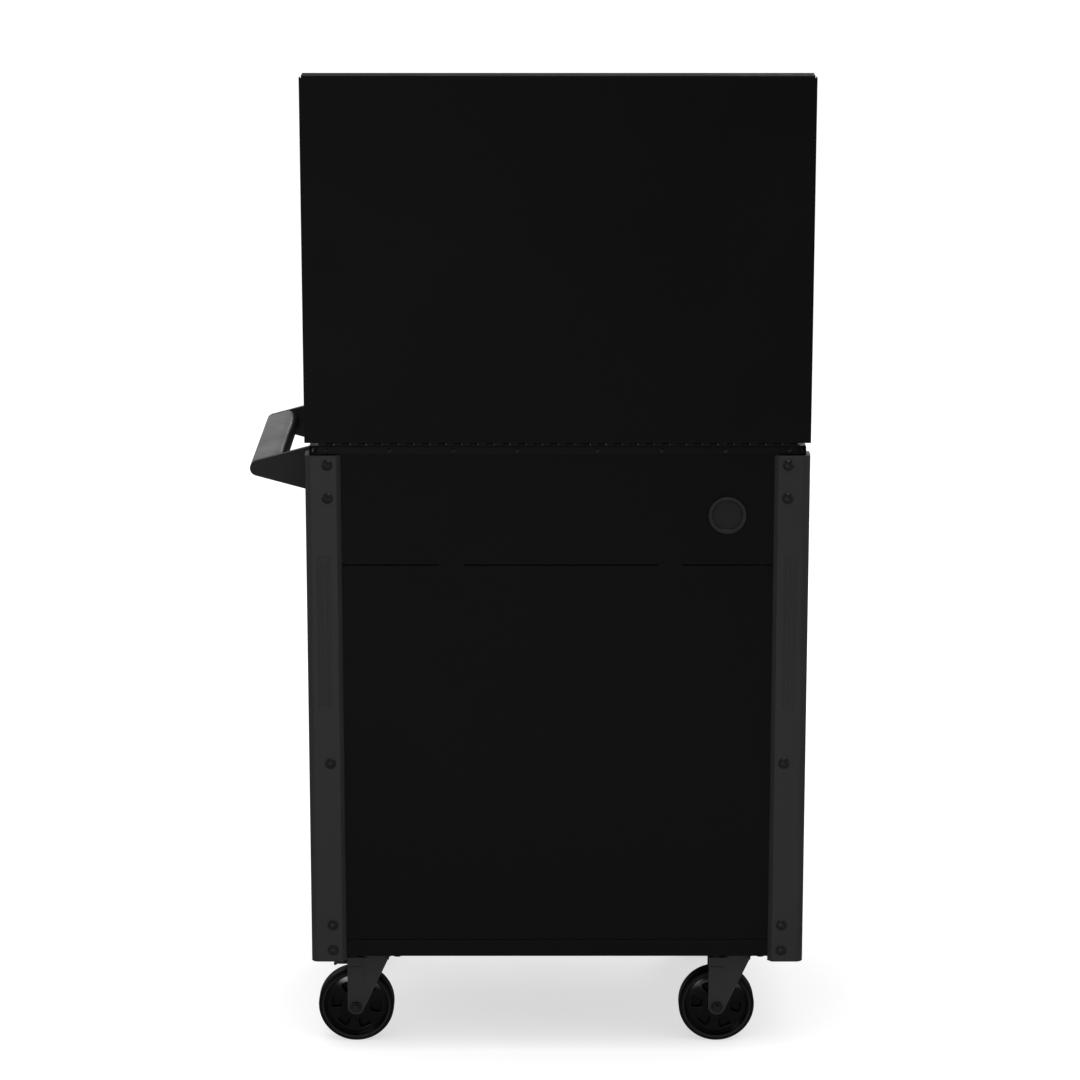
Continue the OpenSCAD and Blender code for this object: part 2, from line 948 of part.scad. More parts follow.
// One channel of a slide: its web stands at x = web_x and its lips point to the drawer
module slide_channel(web_x, depth, h, len, y0, z) {
    translate([0, y0, z])
        difference() {
            block([web_x - depth, 0, -h / 2], [web_x, len, h / 2]);
            block([web_x - depth - 1, -1, -h / 2 + slide_t], [web_x - slide_t, len + 1, h / 2 - slide_t]);
        }
}

module drawer_slides_outer() {
    color([0.7, 0.7, 0.72])
    both_sides()
        for (i = [0 : len(drawer_h) - 1])
            slide_channel(post_x, slide_outer_d, slide_h, slide_outer_len, -slide_y0, slide_z(i));
}

module drawer_slides_mid(i) {
    color([0.7, 0.7, 0.72])
    both_sides()
        slide_channel(slide_mid_x, slide_mid_d, slide_h - 2 * slide_t - 2 * slide_nest,
                      slide_mid_len, -slide_y0 + 2, slide_z(i));
}

// ---------- lock ----------

module lock_body() {
    color([0.75, 0.75, 0.77])
    difference() {
        union() {
            rod_y(lock_r, -wall_y - 1, -wall_y + 16, lock_x, lock_z);
            rod_y(lock_rim_r, -wall_y - 3.5, -wall_y, lock_x, lock_z);
            translate([lock_x, -wall_y + sheet + 6, lock_z])
                rotate([90, 0, 0])
                    cylinder(r = 14, h = 6, $fn = 6);
        }
        rod_y(lock_bore_r, -wall_y - 5, -wall_y + 18, lock_x, lock_z);
    }
}

// The plug turns in the lock's body; its cam hangs down behind the panel
module lock_plug() {
    color([0.8, 0.8, 0.82])
    difference() {
        union() {
            rod_y(lock_plug_r, -wall_y - 4.2, -wall_y + 21, lock_x, lock_z);
            difference() {
                block([lock_x - 7, -wall_y + 16.5, lock_z - cam_len], [lock_x + 7, -wall_y + 19, lock_z + 7]);
                rod_y(2, -wall_y + 16, -wall_y + 20, lock_x, lock_z - cam_len + 8);
            }
        }
        block([lock_x - 0.8, -wall_y - 5, lock_z - 4], [lock_x + 0.8, -wall_y + 6, lock_z + 4]);
    }
}

// ---------- casters ----------

module at_casters() {
    for (sx = [-1, 1], sy = [-1, 1])
        translate([sx * swivel_x, sy * swivel_y, 0])
            children();
}

module at_plate_bolts() {
    for (bx = [-1, 1], by = [-1, 1])
        translate([bx * bolt_x, by * bolt_y, 0])
            children();
}

// Top plate, upper race and the riveted king pin
module caster_plates() {
    color([0.15, 0.15, 0.16])
    at_casters()
        difference() {
            union() {
                translate([0, 0, plate_z])
                    linear_extrude(plate_t)
                        rounded_rect(plate_w, plate_d, 8);
                translate([0, 0, race_z])
                    cylinder(r1 = race_r - 3, r2 = race_r, h = plate_z - race_z + 0.01);
                translate([0, 0, crown_z0 - fork_t - 4])
                    cylinder(r = king_r, h = race_z - crown_z0 + fork_t + 5);
                translate([0, 0, crown_z0 - fork_t - 6])
                    cylinder(r = king_r + 5, h = 5.5);
            }
            at_plate_bolts()
                translate([0, 0, plate_z - 1])
                    cylinder(r = bolt_r + 0.2, h = 10);
        }
}

// Hex bolts up through plate and pan, each with its nut inside the pan
module caster_bolts() {
    color([0.12, 0.12, 0.125])
    at_casters()
        at_plate_bolts() {
            translate([0, 0, plate_z - 5.3])
                cylinder(r = bolt_head / 2 / cos(30), h = 5.3, $fn = 6);
            translate([0, 0, plate_z - 1])
                cylinder(r = bolt_r, h = 14);
            difference() {
                translate([0, 0, cab_bottom + sheet])
                    cylinder(r = bolt_head / 2 / cos(30), h = 6.5, $fn = 6);
                translate([0, 0, cab_bottom + sheet - 1])
                    cylinder(r = bolt_r - 0.5, h = 9);
            }
        }
}

// A leg's outline: crown edge, slanted web and the rounded end about the axle
module fork_leg_2d() {
    hub = [trail, axle_z];
    back_top = [fork_back, crown_z0];
    front_edge = trail + fork_end_r;
    translate(hub)
        circle(fork_end_r);
    polygon([back_top, touch(back_top, hub, fork_end_r - fork_tuck, 1), hub,
             [front_edge, axle_z], [front_edge, crown_z0]]);
}

// The flat raised pad that runs from under the crown down to the axle
module fork_pad_2d() {
    translate([trail, axle_z])
        circle(pad_half);
    translate([trail - pad_half, axle_z])
        square([2 * pad_half, pad_top - pad_r - axle_z]);
    translate([trail - pad_half + pad_r, axle_z])
        square([2 * (pad_half - pad_r), pad_top - axle_z]);
    for (s = [-1, 1])
        translate([trail + s * (pad_half - pad_r), pad_top - pad_r])
            circle(pad_r);
}

module caster_fork(braked) {
    color([0.16, 0.16, 0.165])
    difference() {
        union() {
            translate([0, 0, crown_z0 - 2])
                cylinder(r1 = crown_r - crown_flare, r2 = crown_r, h = 6);
            translate([0, 0, crown_z0 + 4])
                cylinder(r = crown_r, h = crown_z1 - crown_z0 - 4);
            block([fork_back, -fork_in_y - fork_t, crown_z0 - fork_t],
                  [trail + fork_end_r, fork_in_y + fork_t, crown_z0 + 0.01]);
            for (s = [0, 1])
                mirror([0, s, 0]) {
                    along_y(fork_in_y, fork_in_y + fork_t)
                        fork_leg_2d();
                    along_y(fork_in_y + fork_t, fork_in_y + fork_t + 1)
                        fork_pad_2d();
                }
        }
        translate([0, 0, crown_z0 - 10])
            cylinder(r = king_bore_r, h = 30);
        rod_y(axle_bore_r, -40, 40, trail, axle_z);
        if (braked)
            rod_y(3.06, -40, 40, pedal_pin_x, pedal_pin_z);
    }
}

module caster_axle() {
    hex_r = 9.5;
    out = fork_in_y + fork_t + 1;
    color([0.1, 0.1, 0.105])
    translate([trail, 0, axle_z]) {
        rod_y(axle_r, -out, out + 14, 0, 0);
        for (y = [-out, out + 7])
            translate([0, y, 0])
                rotate([90, 0, 0])
                    cylinder(r = hex_r, h = 7, $fn = 6);
    }
}

// Six rounded pockets, narrow towards the hub
module core_pockets_2d() {
    for (i = [0 : pocket_count - 1])
        rotate(pocket_turn + i * 360 / pocket_count)
            hull() {
                for (s = [-1, 1]) {
                    translate([pocket_in, s * pocket_in_half])
                        circle(3, $fn = 32);
                    translate([pocket_out, s * pocket_out_half])
                        circle(3.5, $fn = 32);
                }
            }
}

module caster_core() {
    color([0.03, 0.03, 0.035])
    translate([trail, 0, axle_z])
        rotate([90, 0, 0])
            difference() {
                union() {
                    difference() {
                        cylinder(r = core_r, h = 2 * core_half, center = true);
                        for (s = [0, 1])
                            mirror([0, 0, s])
                                translate([0, 0, core_half - 3])
                                    difference() {
                                        cylinder(r = rim_in_r + 2, h = 10);
                                        translate([0, 0, -1])
                                            cylinder(r = hub_r + 4, h = 12);
                                    }
                        translate([0, 0, -core_half])
                            linear_extrude(2 * core_half)
                                core_pockets_2d();
                    }
                    cylinder(r = rim_in_r, h = 2 * web_half, center = true);
                    cylinder(r = hub_r, h = 2 * hub_half, center = true);
                }
                cylinder(r = hub_bore_r, h = 60, center = true);
            }
}

module caster_tyre() {
    r = tyre_r;
    out_r = wheel_d / 2;
    in_r = core_r + 0.05;
    half = tyre_w / 2;
    color([0.07, 0.07, 0.075])
    translate([trail, 0, axle_z])
        rotate([90, 0, 0])
            rotate_extrude()
                union() {
                    translate([in_r, -half])
                        square([out_r - in_r - r, 2 * half]);
                    translate([in_r, -half + r])
                        square([out_r - in_r, 2 * (half - r)]);
                    for (s = [-1, 1])
                        translate([out_r - r, s * (half - r)])
                            circle(r);
                }
}

// A pressed pedal on a cross pin, with the shoe that bears on the tyre
module caster_pedal() {
    color([0.2, 0.2, 0.205]) {
        rod_y(3, -fork_in_y - fork_t - 0.6, fork_in_y + fork_t + 0.6, pedal_pin_x, pedal_pin_z);
        rod_y(5, -pedal_half, pedal_half, pedal_pin_x, pedal_pin_z);
        block([pedal_pin_x, -pedal_half, pedal_pin_z - 1.5], [pedal_end, pedal_half, pedal_pin_z + 1.5]);
        rod_y(2.6, -pedal_half, pedal_half, pedal_end, pedal_pin_z - 1.1);
        block([pedal_pin_x + 6, -pedal_half + 4, pedal_pin_z - 7.5],
              [pedal_pin_x + 20, pedal_half - 4, pedal_pin_z - 1]);
    }
}

// Puts one caster's piece under its corner
module at_caster(sx, sy) {
    translate([sx * swivel_x, sy * swivel_y, 0])
        children();
}

// ---------- the whole object ----------

// Moves the origin from the cabinet's middle plane to the middle of the whole object
module placed() {
    translate([-origin_x, 0, 0])
        children();
}

placed() side_panel_left();
placed() side_panel_right();
placed() back_panel_upper();
placed() back_panel_lower();
placed() front_panel();
placed() bottom_pan();
placed() till_floor();
placed() corner_posts();
placed() corner_guards();
placed() panel_screws();
placed() hinge_body_leaf();
placed() hinge_pin();
placed() cable_grommet();
placed() grommet_membrane();
placed() handle_arms();
placed() handle_grip();
placed() drawer_slides_outer();
placed() lock_body();
placed() lock_plug();
placed() caster_plates();
placed() caster_bolts();
placed() strut_brackets();
placed() lid_panel();
placed() hinge_lid_leaf();
placed() lid_stiffener();
placed() lid_studs();
placed() strut_cylinder(-1);  // strut_left_cylinder
placed() strut_rod(-1);  // strut_left_rod
placed() strut_cylinder(1);  // strut_right_cylinder
placed() strut_rod(1);  // strut_right_rod
placed() drawer_tub(0);  // drawer_1_tub
placed() drawer_front(0);  // drawer_1_front
placed() drawer_slides_mid(0);  // drawer_1_slides_mid
placed() drawer_tub(1);  // drawer_2_tub
placed() drawer_front(1);  // drawer_2_front
placed() drawer_slides_mid(1);  // drawer_2_slides_mid
placed() drawer_tub(2);  // drawer_3_tub
placed() drawer_front(2);  // drawer_3_front
placed() drawer_slides_mid(2);  // drawer_3_slides_mid
placed() drawer_tub(3);  // drawer_4_tub
placed() drawer_front(3);  // drawer_4_front
placed() drawer_slides_mid(3);  // drawer_4_slides_mid
placed() at_caster(1, 1) caster_fork(true);  // caster_rear_right_fork
placed() at_caster(1, 1) caster_axle();  // caster_rear_right_axle
placed() at_caster(1, 1) caster_core();  // caster_rear_right_core
placed() at_caster(1, 1) caster_tyre();  // caster_rear_right_tyre
placed() at_caster(1, 1) caster_pedal();  // caster_rear_right_pedal
placed() at_caster(-1, 1) caster_fork(false);  // caster_rear_left_fork
placed() at_caster(-1, 1) caster_axle();  // caster_rear_left_axle
placed() at_caster(-1, 1) caster_core();  // caster_rear_left_core
placed() at_caster(-1, 1) caster_tyre();  // caster_rear_left_tyre
placed() at_caster(1, -1) caster_fork(true);  // caster_front_right_fork
placed() at_caster(1, -1) caster_axle();  // caster_front_right_axle
placed() at_caster(1, -1) caster_core();  // caster_front_right_core
placed() at_caster(1, -1) caster_tyre();  // caster_front_right_tyre
placed() at_caster(1, -1) caster_pedal();  // caster_front_right_pedal
placed() at_caster(-1, -1) caster_fork(false);  // caster_front_left_fork
placed() at_caster(-1, -1) caster_axle();  // caster_front_left_axle
placed() at_caster(-1, -1) caster_core();  // caster_front_left_core
placed() at_caster(-1, -1) caster_tyre();  // caster_front_left_tyre
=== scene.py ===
# %% [markdown]
# # A rolling tool chest in Blender
#
# The chest is a black steel cabinet on four swivel casters. It has a till under a lift-up lid, four drawers on
# ball slides, moulded guards on its corners and a push handle on one side. Its frame comes from a CAD model that
# already moves and fits, so this file is about looks: the light, the finishes, and the small soft or bright
# pieces that a steel chest carries, such as mats, bumpers and slide rails.
#
# Lengths are in metres. X points to the handle side, Y to the back and Z up.

import json
import math

import bmesh
import bpy
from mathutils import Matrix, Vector


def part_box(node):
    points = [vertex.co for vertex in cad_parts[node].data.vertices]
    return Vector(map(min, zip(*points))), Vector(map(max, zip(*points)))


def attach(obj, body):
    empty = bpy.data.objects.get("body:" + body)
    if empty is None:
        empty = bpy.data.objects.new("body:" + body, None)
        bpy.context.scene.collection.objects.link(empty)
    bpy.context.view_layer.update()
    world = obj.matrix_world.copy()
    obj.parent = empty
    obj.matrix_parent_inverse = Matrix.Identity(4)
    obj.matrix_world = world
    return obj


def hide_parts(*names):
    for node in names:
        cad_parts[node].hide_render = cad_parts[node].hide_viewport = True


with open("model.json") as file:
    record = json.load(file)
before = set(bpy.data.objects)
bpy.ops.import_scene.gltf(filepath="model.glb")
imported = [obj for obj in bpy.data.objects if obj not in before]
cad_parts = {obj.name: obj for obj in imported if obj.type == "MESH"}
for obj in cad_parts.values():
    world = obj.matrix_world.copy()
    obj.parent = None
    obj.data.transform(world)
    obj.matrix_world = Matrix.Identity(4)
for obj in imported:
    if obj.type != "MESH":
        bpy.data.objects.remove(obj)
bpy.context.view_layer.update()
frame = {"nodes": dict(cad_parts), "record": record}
nodes = frame["nodes"]
record = frame["record"]

# %% [markdown]
# ## The camera
#
# The chest is seen square from the back, from above its lid, through a long lens. A long lens keeps the sides
# almost parallel, so the steel looks straight and heavy. A camera is placed by saying where it stands, how far it
# tips down and how long its lens is. Standing it relative to the guards' rear face keeps the view right if the
# chest ever changes size.

# %% Camera
guards_low, guards_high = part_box("corner_guards")
cabinet_mid_x = (guards_low[0] + guards_high[0]) / 2
camera_back = 5.776
camera_height = 2.208
camera_aside = 0.028
camera_tip = math.radians(13.06)
lens_mm = 123.9

camera_data = bpy.data.cameras.new("back_view")
camera_data.lens = lens_mm
camera_data.sensor_width = 36.0
camera = bpy.data.objects.new("back_view", camera_data)
camera.location = (cabinet_mid_x + camera_aside, guards_high[1] + camera_back, camera_height)
camera.rotation_euler = (math.radians(90) - camera_tip, 0, math.radians(180))
bpy.context.scene.collection.objects.link(camera)
bpy.context.scene.camera = camera
print("camera stands at", [round(v, 3) for v in camera.location])

# %% [markdown]
# ## Floor and light
#
# Black paint shows only what it reflects, so the light matters more than the paint. A photographer does two
# things at once here. A big white room lights everything evenly, so the floor goes white and no panel has a dark
# side. Then a few bright cards are set where only a fold, a dome or a rounded rim can mirror them, and each draws
# a pale line there. In Blender both are easy to separate: a lamp or the sky can be hidden from mirror rays, or
# seen by mirror rays alone.

# %% Floor
floor_radius = 40.0
floor_mesh = bpy.data.meshes.new("studio_floor")
floor_build = bmesh.new()
bmesh.ops.create_circle(floor_build, cap_ends=True, segments=96, radius=floor_radius)
floor_build.to_mesh(floor_mesh)
floor_build.free()
studio_floor = bpy.data.objects.new("studio_floor", floor_mesh)
bpy.context.scene.collection.objects.link(studio_floor)

floor_paint = bpy.data.materials.new("pale_floor")
floor_paint.use_nodes = True
floor_tree = floor_paint.node_tree
floor_skin = floor_tree.nodes["Principled BSDF"]
floor_skin.inputs["Base Color"].default_value = (0.5, 0.5, 0.5, 1)
floor_skin.inputs["Emission Color"].default_value = (1, 1, 1, 1)
floor_skin.inputs["Emission Strength"].default_value = 0.58
floor_skin.inputs["Roughness"].default_value = 0.95
floor_skin.inputs["Specular IOR Level"].default_value = 0.0
mirrored_floor = floor_tree.nodes.new("ShaderNodeEmission")
mirrored_floor.inputs["Strength"].default_value = 0.11
floor_rays = floor_tree.nodes.new("ShaderNodeLightPath")
floor_choice = floor_tree.nodes.new("ShaderNodeMixShader")
floor_tree.links.new(floor_rays.outputs["Is Glossy Ray"], floor_choice.inputs[0])
floor_tree.links.new(floor_skin.outputs[0], floor_choice.inputs[1])
floor_tree.links.new(mirrored_floor.outputs[0], floor_choice.inputs[2])
floor_tree.links.new(floor_choice.outputs[0], floor_tree.nodes["Material Output"].inputs[0])
floor_mesh.materials.append(floor_paint)
bpy.context.scene.view_settings.view_transform = "Standard"

# %% Soft boxes and highlight cards
def soft_box(name, place, aim, width, height, watts, only_highlights=False):
    """A rectangular lamp that stands at a place and faces a point."""
    lamp = bpy.data.lights.new(name, "AREA")
    lamp.shape = "RECTANGLE"
    lamp.size = width
    lamp.size_y = height
    lamp.energy = watts
    box = bpy.data.objects.new(name, lamp)
    box.location = place
    box.rotation_euler = (Vector(aim) - Vector(place)).to_track_quat("-Z", "Y").to_euler()
    box.visible_camera = False
    box.visible_diffuse = not only_highlights
    box.visible_glossy = only_highlights
    bpy.context.scene.collection.objects.link(box)
    return box


def highlight_card(name, place, aim, width, height, glow):
    """A card that only mirror rays see; a glow of 1 looks as bright as white paper."""
    return soft_box(name, place, aim, width, height, glow * math.pi * width * height, True)


chest_mid = (cabinet_mid_x, 0, 0.75)
soft_box("top_box", (cabinet_mid_x + 0.6, 0.8, 4.2), chest_mid, 2.6, 2.2, 60)
soft_box("handle_side_box", (3.6, 1.0, 2.0), chest_mid, 1.2, 2.4, 5)
soft_box("plain_side_box", (-3.8, 1.6, 1.4), chest_mid, 1.0, 2.4, 14)
soft_box("drawer_side_box", (cabinet_mid_x - 1.5, -4.4, 2.6), chest_mid, 2.2, 1.8, 60)
highlight_card("front_wall_card", (cabinet_mid_x + 0.8, -4.0, 2.0), chest_mid, 4.5, 2.4, 0.6)
highlight_card("overhead_card", (cabinet_mid_x - 0.6, 1.0, 3.6), chest_mid, 1.2, 0.8, 3.0)
highlight_card("handle_side_card", (3.4, 0.2, 1.6), chest_mid, 0.7, 2.0, 1.6)
highlight_card("plain_side_card", (-3.6, 0.2, 1.6), chest_mid, 0.7, 2.0, 1.6)
highlight_card("grip_edge_card", (-0.95, -4.2, 1.5), (0.42, 0, 1.0), 1.0, 0.7, 5)
highlight_card("low_dome_card", (cabinet_mid_x - 0.4, 1.6, 0.02), (cabinet_mid_x, 0.3, 0.7), 1.6, 0.3, 1.0)
highlight_card("wheel_card", (cabinet_mid_x + 1.15, 4.0, 0.42), (cabinet_mid_x, 0.25, 0.08), 0.8, 0.45, 8)

# %% Sky
sky = bpy.data.worlds.new("studio_sky")
sky.use_nodes = True
bpy.context.scene.world = sky
sky_tree = sky.node_tree
sky_tree.nodes.clear()
sky_out = sky_tree.nodes.new("ShaderNodeOutputWorld")
sky_glow = sky_tree.nodes.new("ShaderNodeBackground")
sky_glow.inputs["Color"].default_value = (1, 1, 1, 1)
sky_rays = sky_tree.nodes.new("ShaderNodeLightPath")
sky_level = sky_tree.nodes.new("ShaderNodeMapRange")
sky_level.inputs["To Min"].default_value = 0.95
sky_level.inputs["To Max"].default_value = 0.07
sky_tree.links.new(sky_rays.outputs["Is Glossy Ray"], sky_level.inputs["Value"])
sky_tree.links.new(sky_level.outputs["Result"], sky_glow.inputs["Strength"])
sky_tree.links.new(sky_glow.outputs[0], sky_out.inputs[0])

# %% [markdown]
# ## Helpers for finishes
#
# A painted or moulded surface is never one flat colour. Each finish below is built from the same few ideas: a
# grain that makes tiny bumps, a slow cloud that varies the gloss, as dust and hands do, and an edge finder that
# tells where the steel is folded, so that the paint can be a little thinner and shinier there. The helpers give
# those ideas names. Everything is computed from the place on the object in metres, so a grain of 0.4 mm stays
# 0.4 mm on every piece.

# %% Node helpers
def new_finish(name):
    """A material with one Principled shader, ready for its textures."""
    finish = bpy.data.materials.new(name)
    finish.use_nodes = True
    tree = finish.node_tree
    tree.nodes.clear()
    out = tree.nodes.new("ShaderNodeOutputMaterial")
    skin = tree.nodes.new("ShaderNodeBsdfPrincipled")
    tree.links.new(skin.outputs[0], out.inputs[0])
    return finish, tree, skin


def spot_on_object(tree, stretch=(1, 1, 1)):
    """The place on the object, in metres, stretched where a finish has a direction."""
    where = tree.nodes.new("ShaderNodeTexCoord")
    shift = tree.nodes.new("ShaderNodeMapping")
    shift.inputs["Scale"].default_value = stretch
    tree.links.new(where.outputs["Object"], shift.inputs["Vector"])
    return shift.outputs["Vector"]


def grain(tree, where, size, detail=2.0, warp=0.0):
    """Noise whose lumps are about the given size in metres."""
    cloud = tree.nodes.new("ShaderNodeTexNoise")
    cloud.inputs["Scale"].default_value = 1.0 / size
    cloud.inputs["Detail"].default_value = detail
    cloud.inputs["Distortion"].default_value = warp
    tree.links.new(where, cloud.inputs["Vector"])
    return cloud.outputs["Fac"]


def remap(tree, value, low, high, to_low, to_high):
    """Stretches a value's range onto another one, and clips it there."""
    span = tree.nodes.new("ShaderNodeMapRange")
    for socket, number in (("From Min", low), ("From Max", high), ("To Min", to_low), ("To Max", to_high)):
        span.inputs[socket].default_value = number
    tree.links.new(value, span.inputs["Value"])
    return span.outputs["Result"]


def combine(tree, kind, a, b):
    """Arithmetic on two values; either may be a number."""
    sums = tree.nodes.new("ShaderNodeMath")
    sums.operation = kind
    for socket, value in zip(sums.inputs, (a, b)):
        if isinstance(value, (int, float)):
            socket.default_value = value
        else:
            tree.links.new(value, socket)
    return sums.outputs[0]


def two_tones(tree, amount, tone_a, tone_b):
    """A colour between two others; either may be a colour or another mix."""
    mix = tree.nodes.new("ShaderNodeMix")
    mix.data_type = "RGBA"
    tree.links.new(amount, mix.inputs["Factor"])
    for socket, tone in ((mix.inputs[6], tone_a), (mix.inputs[7], tone_b)):
        if isinstance(tone, tuple):
            socket.default_value = (*tone, 1)
        else:
            tree.links.new(tone, socket)
    return mix.outputs[2]


def soft_edges(tree, radius):
    """Shades sharp corners as if they were rounded, and returns that normal and a mask of the corners."""
    round_off = tree.nodes.new("ShaderNodeBevel")
    round_off.samples = 6
    round_off.inputs["Radius"].default_value = radius
    facing = tree.nodes.new("ShaderNodeNewGeometry")
    compare = tree.nodes.new("ShaderNodeVectorMath")
    compare.operation = "DOT_PRODUCT"
    tree.links.new(round_off.outputs["Normal"], compare.inputs[0])
    tree.links.new(facing.outputs["Normal"], compare.inputs[1])
    corner = remap(tree, compare.outputs["Value"], 0.75, 0.999, 1.0, 0.0)
    return round_off.outputs["Normal"], corner


def relief(tree, skin, layers, normal=None):
    """Adds bumps: each layer is a height between 0 and 1, and its depth in metres."""
    for height, depth in layers:
        bump = tree.nodes.new("ShaderNodeBump")
        bump.inputs["Distance"].default_value = depth
        tree.links.new(height, bump.inputs["Height"])
        if normal is not None:
            tree.links.new(normal, bump.inputs["Normal"])
        normal = bump.outputs["Normal"]
    tree.links.new(normal, skin.inputs["Normal"])


# %% [markdown]
# ## Black powder coat
#
# The cabinet is sprayed with dry powder that melts in an oven. It flows into a skin with a faint orange-peel
# ripple, a few tenths of a millimetre fine, with a slower wave under it. It is satin, not glossy. Folds get a
# thinner skin, so they look slightly paler and are rubbed smoother, and flat panels carry a trace of dust.

# %% Powder coat
def powder_coat(name, tone, worn_tone, roughness=0.5, edge=0.0012):
    """Baked powder: a fine peel over a slower wave, a trace of dust, and a thinner skin on the folds."""
    finish, tree, skin = new_finish(name)
    where = spot_on_object(tree)
    peel = grain(tree, where, 0.0009, 3.0)
    wave = grain(tree, where, 0.006, 2.0)
    cloud = grain(tree, where, 0.22, 4.0, 0.6)
    scuff = grain(tree, where, 0.018, 6.0, 1.5)
    normal, corner = soft_edges(tree, edge)
    thin = combine(tree, "MULTIPLY", corner, remap(tree, scuff, 0.42, 0.68, 0.25, 1.0))
    dusty = remap(tree, cloud, 0.35, 0.75, 0.0, 0.35)
    dust_tone = tuple(c * 1.5 + 0.0006 for c in tone)
    base = two_tones(tree, dusty, tone, dust_tone)
    tree.links.new(two_tones(tree, thin, base, worn_tone), skin.inputs["Base Color"])
    satin = remap(tree, cloud, 0.3, 0.7, roughness - 0.05, roughness + 0.07)
    rubbed = combine(tree, "MULTIPLY", thin, 0.12)
    tree.links.new(combine(tree, "SUBTRACT", satin, rubbed), skin.inputs["Roughness"])
    skin.inputs["Specular IOR Level"].default_value = 0.16
    relief(tree, skin, [(wave, 0.00012), (peel, 0.00006)], normal)
    return finish


black_coat = powder_coat("black_powder_coat", (0.0019, 0.0019, 0.0024), (0.012, 0.012, 0.0128))
arm_coat = powder_coat("handle_arm_paint", (0.0125, 0.013, 0.0145), (0.035, 0.035, 0.037))
caster_coat = powder_coat("caster_paint", (0.0205, 0.0205, 0.0222), (0.055, 0.055, 0.057),
                          roughness=0.42, edge=0.0014)
hinge_coat = powder_coat("black_hinge", (0.0028, 0.0028, 0.0032), (0.012, 0.012, 0.0125),
                         roughness=0.42, edge=0.0004)
strut_coat = powder_coat("strut_black", (0.007, 0.007, 0.007), (0.03, 0.03, 0.03), roughness=0.3, edge=0.0008)
pedal_coat = powder_coat("pedal_steel", (0.02, 0.02, 0.0205), (0.12, 0.12, 0.12), roughness=0.4)

# %% [markdown]
# ## Moulded guards and plastics
#
# The corner guards are thick charcoal plastic from a spark-eroded mould, which leaves a fine, even grain. They
# stand proud to take the knocks, so their corners are polished a little by rubbing. The cable grommet is the same
# kind of plastic with a finer grain, and its slit centre is soft rubber, duller than all the rest.

# %% Plastics and rubber
def moulded(name, tone, roughness, grain_size, grain_depth, edge=0.0015, polish=0.1, shine=0.5):
    """Moulded plastic or rubber: fine pits from the mould, a slow cloud, and corners rubbed paler."""
    finish, tree, skin = new_finish(name)
    where = spot_on_object(tree)
    pits = grain(tree, where, grain_size, 4.0)
    cloud = grain(tree, where, 0.12, 3.0, 0.4)
    streak = grain(tree, spot_on_object(tree, (1, 1, 0.06)), 0.006, 3.0)
    normal, corner = soft_edges(tree, edge)
    pale = tuple(c * 1.3 + 0.001 for c in tone)
    base = two_tones(tree, remap(tree, cloud, 0.3, 0.75, 0.0, 0.5), tone, pale)
    handled = combine(tree, "MULTIPLY", corner, remap(tree, streak, 0.35, 0.65, 0.4, 1.0))
    rubbed_tone = tuple(c * 1.7 + 0.003 for c in tone)
    tree.links.new(two_tones(tree, handled, base, rubbed_tone), skin.inputs["Base Color"])
    dull = remap(tree, cloud, 0.3, 0.7, roughness - 0.04, roughness + 0.06)
    polished = combine(tree, "MULTIPLY", handled, polish)
    tree.links.new(combine(tree, "SUBTRACT", dull, polished), skin.inputs["Roughness"])
    skin.inputs["Specular IOR Level"].default_value = shine
    relief(tree, skin, [(pits, grain_depth)], normal)
    return finish


guard_plastic = moulded("guard_plastic", (0.0125, 0.0126, 0.0136), 0.5, 0.0007, 0.00009, edge=0.003)
grommet_plastic = moulded("grommet_plastic", (0.007, 0.007, 0.0075), 0.42, 0.0005, 0.00004, edge=0.0008)
grommet_rubber = moulded("grommet_rubber", (0.006, 0.006, 0.0064), 0.72, 0.0012, 0.00005, edge=0.0005, polish=0.05)
wheel_tread = moulded("wheel_tread", (0.0075, 0.0075, 0.008), 0.55, 0.0015, 0.00006, edge=0.001, polish=0.08)

# %% [markdown]
# ## Bright and bare metal
#
# The hinge pin, the strut rods and the lock are hard and bright. The drawer slides are zinc plated: a bluish grey
# with faint rolling lines along their length and cloudy spangle. The grip is a satin metallic coat that picks up
# the light from above.

# %% Metals
def bright_metal(name, tone, roughness, line_size, stretch, edge=0.0005):
    """Bare or plated metal: fine lines along one direction and a cloudy tone."""
    finish, tree, skin = new_finish(name)
    lines = grain(tree, spot_on_object(tree, stretch), line_size, 3.0)
    cloud = grain(tree, spot_on_object(tree), 0.03, 4.0, 0.8)
    normal, corner = soft_edges(tree, edge)
    dark = tuple(c * 0.78 for c in tone)
    base = two_tones(tree, remap(tree, cloud, 0.35, 0.7, 0.0, 1.0), tone, dark)
    tree.links.new(base, skin.inputs["Base Color"])
    skin.inputs["Metallic"].default_value = 1.0
    tree.links.new(remap(tree, lines, 0.3, 0.7, roughness * 0.75, roughness * 1.35), skin.inputs["Roughness"])
    relief(tree, skin, [(lines, 0.00002)], normal)
    return finish


pin_steel = bright_metal("hinge_pin_steel", (0.32, 0.32, 0.33), 0.26, 0.0004, (0.05, 1, 1))
zinc_slide = bright_metal("zinc_slide", (0.56, 0.58, 0.61), 0.34, 0.0006, (1, 0.02, 1))
zinc_bracket = bright_metal("zinc_bracket", (0.42, 0.43, 0.45), 0.42, 0.0008, (1, 1, 0.3))
lock_chrome = bright_metal("lock_chrome", (0.7, 0.7, 0.71), 0.12, 0.0008, (1, 0.2, 1))
rod_chrome = bright_metal("strut_chrome", (0.68, 0.68, 0.7), 0.1, 0.0006, (1, 1, 0.1))


